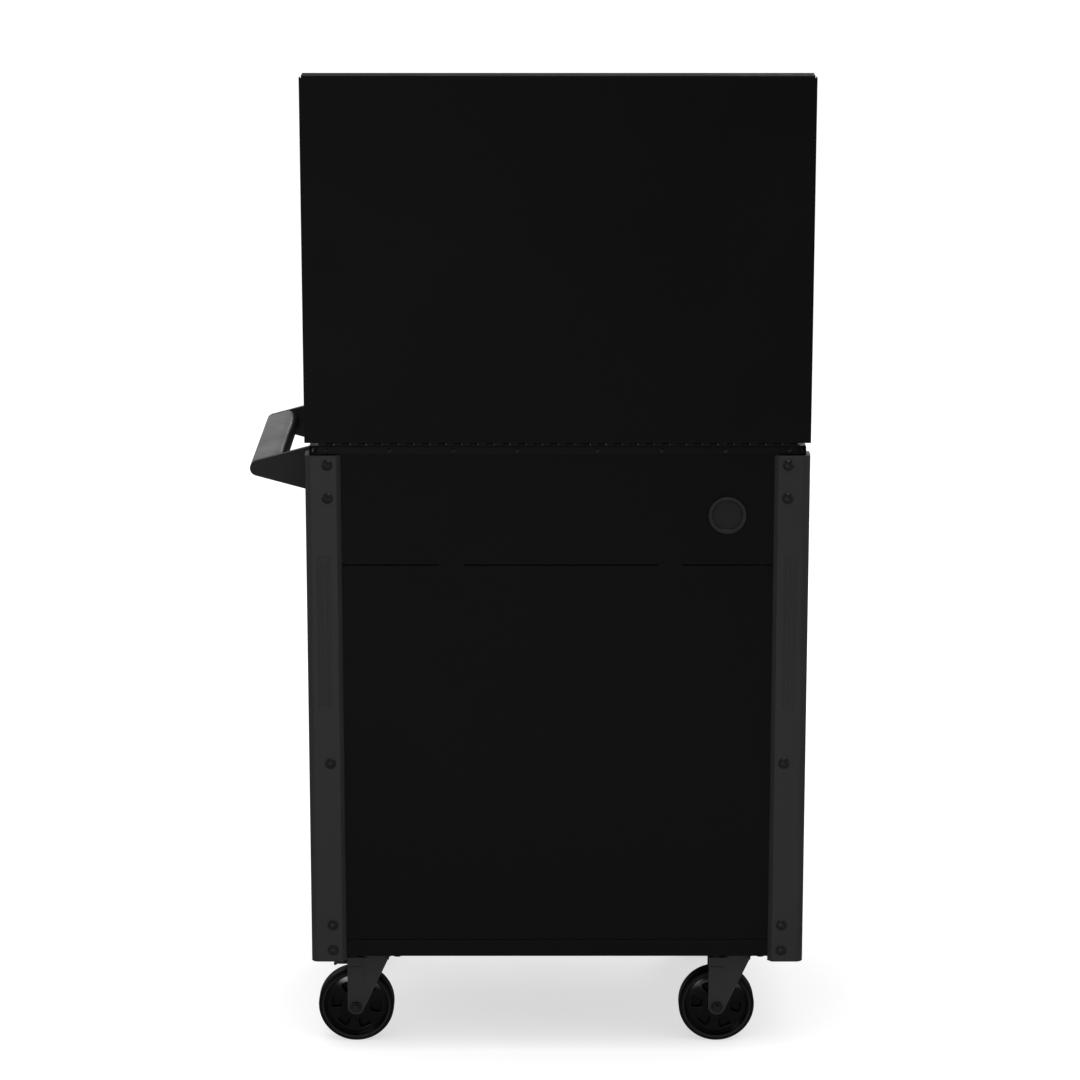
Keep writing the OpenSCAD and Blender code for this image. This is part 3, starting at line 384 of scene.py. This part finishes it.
def satin_metal(name, tone, roughness, metal):
    """A metallic coat: flakes under a satin skin."""
    finish, tree, skin = new_finish(name)
    where = spot_on_object(tree)
    flakes = grain(tree, where, 0.00045, 2.0)
    cloud = grain(tree, where, 0.09, 3.0, 0.5)
    normal, corner = soft_edges(tree, 0.001)
    flake_tone = tuple(c * 1.5 for c in tone)
    base = two_tones(tree, remap(tree, flakes, 0.5, 0.68, 0.0, 1.0), tone, flake_tone)
    worn = tuple(c * 2.2 for c in tone)
    tree.links.new(two_tones(tree, combine(tree, "MULTIPLY", corner, 0.6), base, worn), skin.inputs["Base Color"])
    skin.inputs["Metallic"].default_value = metal
    tree.links.new(remap(tree, cloud, 0.3, 0.7, roughness - 0.05, roughness + 0.06), skin.inputs["Roughness"])
    relief(tree, skin, [(flakes, 0.00003)], normal)
    return finish


grip_metal = satin_metal("grip_metal", (0.03, 0.0293, 0.029), 0.34, 0.5)
black_hardware = satin_metal("black_hardware", (0.011, 0.011, 0.012), 0.27, 0.35)

# %% [markdown]
# ## The glossy wheel core
#
# The wheel's core is black nylon from a polished mould, so it is the shiniest thing on the chest. Real ones show
# faint flow lines round the hub and fine dust, which keep the highlights from looking like glass. The floors of
# its pockets are left as the mould's cutter made them, so they are satin and look a shade bluer.

# %% Wheel core
def glossy_core(name):
    """Polished nylon with flow lines and fine dust."""
    finish, tree, skin = new_finish(name)
    where = spot_on_object(tree)
    flow = grain(tree, where, 0.02, 5.0, 2.0)
    dust = grain(tree, where, 0.003, 6.0)
    normal, corner = soft_edges(tree, 0.0012)
    nylon_tone, dust_tone = (0.0008, 0.0008, 0.001), (0.005, 0.005, 0.005)
    base = two_tones(tree, remap(tree, dust, 0.55, 0.75, 0.0, 0.5), nylon_tone, dust_tone)
    skin.inputs["Specular IOR Level"].default_value = 0.42
    tree.links.new(base, skin.inputs["Base Color"])
    tree.links.new(remap(tree, flow, 0.3, 0.7, 0.1, 0.2), skin.inputs["Roughness"])
    relief(tree, skin, [(flow, 0.00006)], normal)
    return finish


wheel_core = glossy_core("wheel_core")
# The darker copy of the tyre rubber, for the shoulder and tread: its dark tone is painted shade, and its lower
# roughness is smoother rubber.
shaded_tread_rubber = moulded("shaded_tread_rubber", (0.0012, 0.0012, 0.0014), 0.48, 0.0015, 0.00006,
                        edge=0.001, polish=0.08, shine=0.22)
pocket_satin = moulded("pocket_satin", (0.0026, 0.0034, 0.005), 0.6, 0.0006, 0.00006,
                       edge=0.0004, polish=0.05, shine=0.12)

# %% [markdown]
# ## Painting the frame
#
# The CAD record already says which finish each piece takes, by the name of its material slot. So the painting is
# one loop: look up the slot, hand over the finish. A slot that has no finish here would stop the script.

# %% Paint the frame
finishes = {
    "black_powder_coat": black_coat, "guard_plastic": guard_plastic, "black_hardware": black_hardware,
    "black_hinge": hinge_coat, "hinge_pin_steel": pin_steel, "grommet_plastic": grommet_plastic,
    "grommet_rubber": grommet_rubber, "handle_arm_paint": arm_coat, "grip_metal": grip_metal,
    "zinc_slide": zinc_slide, "lock_chrome": lock_chrome, "caster_paint": caster_coat,
    "wheel_core": wheel_core, "wheel_tread": wheel_tread, "pedal_steel": pedal_coat,
    "zinc_bracket": zinc_bracket, "strut_black": strut_coat, "strut_chrome": rod_chrome,
}
for entry in record["subparts"]:
    part = nodes[entry["node"]]
    part.data.materials.clear()
    part.data.materials.append(finishes[entry["material_slot"]])
print("painted", len(record["subparts"]), "pieces")

# %% [markdown]
# ## Helpers for added pieces
#
# Some pieces of a real chest are soft, thin or shiny in a way that the frame doesn't show, so they are made here.
# Most of them come from two old ways of making things. A lathe turns a profile round an axis, and an extruder
# pushes a profile along a line. Writing the profile as a list of points gives full control of every radius.

# %% Lathe and extruder
def add_piece(name, mesh, finish, body, place=(0, 0, 0), turn=(0, 0, 0), smooth=True):
    """Puts a mesh in the scene as a named piece that moves with a body."""
    piece = bpy.data.objects.new(name, mesh)
    piece.location = place
    piece.rotation_euler = turn
    bpy.context.scene.collection.objects.link(piece)
    if not mesh.materials:
        mesh.materials.append(finish)
    if smooth:
        mesh.shade_smooth()
    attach(piece, body)
    return piece


def mesh_from(name, verts, faces):
    """A mesh whose faces all look outward."""
    mesh = bpy.data.meshes.new(name)
    mesh.from_pydata(verts, [], faces)
    mesh.validate()
    build = bmesh.new()
    build.from_mesh(mesh)
    bmesh.ops.recalc_face_normals(build, faces=build.faces)
    build.to_mesh(mesh)
    build.free()
    return mesh


def lathe(name, profile, segments, along="Y"):
    """Turns (radius, offset) points round an axis. A closed profile gives a ring."""
    verts, faces = [], []
    count = len(profile)
    for step in range(segments):
        turn = 2 * math.pi * step / segments
        for radius, offset in profile:
            a, b = radius * math.cos(turn), radius * math.sin(turn)
            verts.append((a, offset, b) if along == "Y" else (a, b, offset))
    for step in range(segments):
        after = (step + 1) % segments
        for i in range(count):
            j = (i + 1) % count
            faces.append((step * count + i, step * count + j, after * count + j, after * count + i))
    return mesh_from(name, verts, faces)


def extrude(name, profile, start, end, place_point):
    """Pushes a closed profile from start to end; place_point turns (u, v, w) into (x, y, z)."""
    count = len(profile)
    verts = [place_point(u, v, start) for u, v in profile] + [place_point(u, v, end) for u, v in profile]
    faces = [(i, (i + 1) % count, count + (i + 1) % count, count + i) for i in range(count)]
    faces += [tuple(range(count)), tuple(range(2 * count - 1, count - 1, -1))]
    return mesh_from(name, verts, faces)


def arc(centre, radius, start, stop, steps):
    """Points on an arc, with angles in degrees."""
    turns = [math.radians(start + (stop - start) * i / steps) for i in range(steps + 1)]
    return [(centre[0] + radius * math.cos(t), centre[1] + radius * math.sin(t)) for t in turns]


# %% [markdown]
# ## Wheels
#
# Each wheel is a nylon core with a ring of softer rubber moulded round it. The core's face is domed, which is why
# one bright lamp shows up as a patch that slides round the wheel, and six pockets save plastic. A core like this
# could be cut with booleans, but moulded plastic has soft lips round its pockets. So the face is a fine polar
# grid, and each point's depth is worked out: the dome first, then the pockets pressed in with a smooth step.

# %% Wheel core
CASTERS = [f"caster_{side}_{hand}" for side in ("rear", "front") for hand in ("right", "left")]
core_low, core_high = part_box("caster_rear_right_core")
core_r = (core_high[2] - core_low[2]) / 2
hub_half = (core_high[1] - core_low[1]) / 2
hub_r = 0.015
bore_r = 0.0061
face_beyond_core = 0.0034
face_r = core_r + face_beyond_core
rim_r = face_r - 0.0018
dome_edge = 0.0100
dome_top = 0.0145
pocket_floor = 0.0062
pocket_turn = math.radians(7)
pocket_in, pocket_out = 0.024, 0.0405
pocket_round = 0.003
pocket_pitch = math.radians(60)
segments = 288
face_rings = 60


def dome(r):
    """Offset of the core's face from the wheel's middle plane, with no pockets."""
    along = min(max((r - hub_r - 0.003) / (rim_r - hub_r - 0.003), 0), 1)
    return dome_top - (dome_top - dome_edge) * along ** 2


def smooth_step(low, high, value):
    t = min(max((value - low) / (high - low), 0), 1)
    return t * t * (3 - 2 * t)


def pocket_share(r, turn):
    """1 on a pocket's floor, 0 on the face, and between them on its wall."""
    off = (turn - pocket_turn + pocket_pitch / 2) % pocket_pitch - pocket_pitch / 2
    u, v = r * math.cos(off), abs(r * math.sin(off))
    half = 0.0065 + 0.0035 * (u - pocket_in) / (pocket_out - pocket_in)
    past_side = max(v - half + pocket_round, 0)
    past_end = max(u - pocket_out + pocket_round, pocket_in + pocket_round - u, 0)
    return 1 - smooth_step(-0.0009, 0.0006, math.hypot(past_side, past_end) - pocket_round)


def core_mesh():
    rings = [(bore_r, hub_half - 0.0006), (bore_r + 0.0006, hub_half), (hub_r - 0.0012, hub_half)]
    rings += [(hub_r - 0.0003, hub_half - 0.0004), (hub_r, hub_half - 0.0014), (hub_r + 0.0006, dome_top + 0.0012)]
    rings += [(hub_r + 0.0014, dome_top + 0.0003)]
    for i in range(face_rings):
        r = hub_r + 0.0025 + (rim_r - hub_r - 0.0035) * i / (face_rings - 1)
        rings.append((r, None))
    rings += [(rim_r - 0.0003, dome_edge + 0.0006), (rim_r + 0.0001, 0.0148), (rim_r + 0.0004, 0.0162)]
    rings += [(face_r - 0.0010, 0.0165), (face_r - 0.0004, 0.0162), (face_r, 0.0150)]
    verts, faces = [], []
    for side in (1, -1):
        for r, offset in rings:
            for step in range(segments):
                turn = 2 * math.pi * step / segments
                depth = offset
                if depth is None:
                    depth = dome(r) + (pocket_floor - dome(r)) * pocket_share(r, turn)
                verts.append((r * math.cos(turn), side * depth, r * math.sin(turn)))
    count = len(rings)
    for side in (0, 1):
        base = side * count * segments
        for ring in range(count - 1):
            for step in range(segments):
                after = (step + 1) % segments
                a, b = base + ring * segments, base + (ring + 1) * segments
                faces.append((a + step, a + after, b + after, b + step))
    back = count * segments
    for ring in (0, count - 1):
        for step in range(segments):
            after = (step + 1) % segments
            near = ring * segments
            faces.append((near + step, near + after, back + near + after, back + near + step))
    mesh = mesh_from("wheel_core_shape", verts, faces)
    mesh.materials.append(wheel_core)
    mesh.materials.append(pocket_satin)
    for face in mesh.polygons:
        x, y, z = face.center
        if pocket_share(math.hypot(x, z), math.atan2(z, x)) > 0.97 and abs(y) < dome_edge:
            face.material_index = 1
    return mesh


core_shape = core_mesh()
print("core points:", len(core_shape.vertices), "dome tilt at the rim, degrees:",
      round(math.degrees(math.atan(2 * (dome_top - dome_edge) / (rim_r - hub_r - 0.003))), 1))

# %% [markdown]
# The tyre is a plain ring of dense rubber. Its side is a flat band, still dull from the mould. Its shoulder and
# tread take a much darker and smoother copy of the same rubber: the darker tone is painted shade, not a real
# change of colour. The band is narrow because the core's face runs a few millimetres further out than the
# frame's plain core does.

# %% Tyre
tyre_low, tyre_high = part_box("caster_rear_right_tyre")
tyre_r = (tyre_high[2] - tyre_low[2]) / 2
tyre_half = (tyre_high[1] - tyre_low[1]) / 2
shoulder_r = 0.0062
side_step = 0.0006
half_profile = [(face_r + 0.0001, 0.0), (face_r + 0.0001, 0.0158), (face_r + 0.0004, 0.0170)]
half_profile += [(face_r + 0.0008, tyre_half - side_step), (face_r + 0.0026, tyre_half - side_step)]
half_profile += arc((tyre_r - shoulder_r, tyre_half - shoulder_r), shoulder_r, 88, 0, 12)
half_profile += [(tyre_r, 0.0004)]
tyre_profile = half_profile + [(r, -offset) for r, offset in reversed(half_profile[1:])]
tyre_shape = lathe("tyre_shape", tyre_profile, 160)
tyre_shape.materials.append(wheel_tread)
tyre_shape.materials.append(shaded_tread_rubber)
side_band_r = face_r + 0.0031
# Faces past the side band get the darker copy of the rubber, which paints shade onto the shoulder and tread.
for face in tyre_shape.polygons:
    if math.hypot(face.center[0], face.center[2]) > side_band_r:
        face.material_index = 1
for caster in CASTERS:
    low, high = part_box(caster + "_core")
    centre = [(a + b) / 2 for a, b in zip(low, high)]
    core = add_piece(caster + "_domed_core", core_shape, wheel_core, caster + "_wheel", centre)
    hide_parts(caster + "_core")
    tyre = add_piece(caster + "_rounded_tyre", tyre_shape, wheel_tread, caster + "_wheel", centre)
    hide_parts(caster + "_tyre")
print("wheels are", round(2 * tyre_r, 4), "across")

# %% [markdown]
# ## The push handle's grip
#
# The grip is a folded wedge of sheet metal with a nose as wide as a thumb and generous corners, so that a hand
# slides on it. Its section is the outline of a rubber band round three circles. That outline has a neat recipe:
# for each direction, take the circle that reaches furthest that way and step out from its centre by its radius.

# %% Grip
grip_low, grip_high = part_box("handle_grip")
nose_r = 0.0125
corner_r = 0.014
grip_mid_z = (grip_low[2] + grip_high[2]) / 2
circles = [(grip_high[0] - nose_r, grip_mid_z, nose_r)]
circles += [(grip_low[0] + corner_r, z, corner_r) for z in (grip_low[2] + corner_r, grip_high[2] - corner_r)]
grip_steps = 120
grip_outline = []
for step in range(grip_steps):
    turn = 2 * math.pi * step / grip_steps
    reach = (math.cos(turn), math.sin(turn))
    x, z, r = max(circles, key=lambda c: c[0] * reach[0] + c[1] * reach[1] + c[2])
    grip_outline.append((x + r * reach[0], z + r * reach[1]))
grip_shape = extrude("grip_shape", grip_outline, grip_low[1], grip_high[1], lambda u, v, w: (u, w, v))
grip = add_piece("folded_grip", grip_shape, grip_metal, "cabinet", smooth=False)
grip_shape.shade_smooth()
grip_shape.set_sharp_from_angle(angle=math.radians(40))
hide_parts("handle_grip")
print("grip:", [round(high - low, 4) for low, high in zip(grip_low, grip_high)])

# %% [markdown]
# ## Mats
#
# A mat of ribbed rubber lies in the till and in every drawer. It keeps tools from sliding and the paint from
# chipping. The ribs are real geometry here: a fine wave is pushed along the drawer, because a bump texture would
# look painted on when seen along the ribs.

# %% Ribbed mats
def ribbed_mat(name, low, high, body, rib_pitch=0.005, rib_height=0.001):
    """A mat between two corners, whose ribs run from front to back."""
    points_per_rib = 6
    width = high[0] - low[0]
    ribs = round(width / rib_pitch)
    count = ribs * points_per_rib
    top = []
    for i in range(count + 1):
        wave = 0.5 - 0.5 * math.cos(2 * math.pi * i / points_per_rib)
        top.append((low[0] + width * i / count, high[2] - rib_height * (1 - wave)))
    outline = [(low[0], low[2])] + top + [(high[0], low[2])]
    shape = extrude(name + "_shape", outline, low[1], high[1], lambda u, v, w: (u, w, v))
    shape.shade_smooth()
    shape.set_sharp_from_angle(angle=math.radians(50))
    mat = add_piece(name, shape, mat_rubber, body, smooth=False)
    print(name, "has", ribs, "ribs")
    return mat


DRAWERS = (1, 2, 3, 4)
mat_rubber = moulded("mat_rubber", (0.02, 0.02, 0.021), 0.8, 0.0011, 0.00006, edge=0.0005, polish=0.05)
mat_thick = 0.0028
mat_margin = 0.004
till_low, till_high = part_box("till_floor")
wall_low, wall_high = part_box("side_panel_left")[0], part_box("side_panel_right")[1]
till_inset = 0.018
till_lift = 0.0012
till_top = till_low[2] + till_lift
ribbed_mat("till_mat", (wall_low[0] + till_inset, till_low[1] + till_inset, till_top),
           (wall_high[0] - till_inset, till_high[1] - till_inset, till_top + mat_thick), "cabinet", 0.006)
drawer_sheet = 0.001
for number in DRAWERS:
    tub_low, tub_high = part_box(f"drawer_{number}_tub")
    floor_top = tub_low[2] + drawer_sheet
    ribbed_mat(f"drawer_{number}_mat", (tub_low[0] + mat_margin, tub_low[1] + mat_margin, floor_top),
               (tub_high[0] - mat_margin, tub_high[1] - mat_margin, floor_top + mat_thick), f"drawer_{number}")

# %% [markdown]
# ## Slide rails and bumpers
#
# A ball slide is three channels nested in each other. The frame has the outer and the middle one, which belong
# to the cabinet and travel half way. The inner rail is screwed to the drawer's side and travels all the way. It
# is a thin zinc channel with rounded bends, held by small pan-head screws.

# %% Inner slide rails
rail_half_height = 0.0165
rail_depth = 0.0078
rail_gauge = 0.0012
rail_bend = 0.0024
rail_front_gap, rail_rear_gap = 0.004, 0.012
first_screw_in, last_screw_in = 0.05, 0.06


def rail_section(reach):
    """Closed outline of a channel whose web stands at 0 and whose lips reach out."""
    inner_bend = rail_bend - rail_gauge
    h, d, g = rail_half_height, rail_depth, rail_gauge
    outside = [(d, -h)] + arc((rail_bend, -h + rail_bend), rail_bend, 270, 180, 5)
    outside += arc((rail_bend, h - rail_bend), rail_bend, 180, 90, 5) + [(d, h)]
    inside = [(d, h - g)] + arc((rail_bend, h - rail_bend), inner_bend, 90, 180, 4)
    inside += arc((rail_bend, -h + rail_bend), inner_bend, 180, 270, 4) + [(d, -h + g)]
    return [(reach * u, v) for u, v in outside + inside]


pan_head = [(0.0001, 0.0018), (0.0016, 0.0017), (0.0028, 0.0012), (0.0033, 0.0005), (0.0034, 0.0), (0.0001, 0.0)]
pan_shape = lathe("pan_head_shape", pan_head, 24, "Z")
for number in DRAWERS:
    tub_low, tub_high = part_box(f"drawer_{number}_tub")
    mid_low, mid_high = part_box(f"drawer_{number}_slides_mid")
    rail_z = (mid_low[2] + mid_high[2]) / 2
    for hand, side_x, reach in (("left", tub_low[0], -1), ("right", tub_high[0], 1)):
        section = [(side_x + u, rail_z + v) for u, v in rail_section(reach)]
        shape = extrude(f"rail_shape_{number}_{hand}", section, tub_low[1] + rail_front_gap,
                        tub_high[1] - rail_rear_gap, lambda u, v, w: (u, w, v))
        shape.shade_smooth()
        shape.set_sharp_from_angle(angle=math.radians(50))
        rail = add_piece(f"drawer_{number}_{hand}_inner_rail", shape, zinc_slide, f"drawer_{number}",
                         smooth=False)
        screw_x = side_x + reach * rail_gauge
        screw_ys = (("front", tub_low[1] + first_screw_in), ("middle", 0.0), ("rear", tub_high[1] - last_screw_in))
        for place, y in screw_ys:
            add_piece(f"drawer_{number}_{hand}_{place}_rail_screw", pan_shape, zinc_bracket, f"drawer_{number}",
                      (screw_x, y, rail_z), turn=(0, reach * math.pi / 2, 0))
print("rails are", round(2 * rail_half_height, 4), "high and", rail_depth, "deep")

# %% [markdown]
# Small rubber buttons on the rim take the lid when it shuts, so that steel never slams on steel. Each has a
# domed head over a short collar.

# %% Rim bumpers
rim_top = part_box("side_panel_left")[1][2]
bumper_r = 0.0048
bumper_rise = 0.0052
bumper_profile = [(0.0001, 0.0), (bumper_r, 0.0), (bumper_r, 0.0016), (bumper_r - 0.0008, 0.0021)]
bumper_profile += [(bumper_r - 0.0006, 0.0034), (bumper_r - 0.0014, 0.0045), (0.0018, bumper_rise - 0.0001)]
bumper_profile += [(0.0001, bumper_rise)]
bumper_shape = lathe("bumper_shape", bumper_profile, 40, "Z")
rim_half = 0.006
front_bumper_y, rear_bumper_y = -0.19, 0.12
for hand, rim_x in (("left", wall_low[0] + rim_half), ("right", wall_high[0] - rim_half)):
    for place, y in (("front", front_bumper_y), ("rear", rear_bumper_y)):
        add_piece(f"rim_bumper_{hand}_{place}", bumper_shape, grommet_rubber, "cabinet",
                  (rim_x, y, rim_top))
print("bumpers stand", bumper_rise, "above the rim")
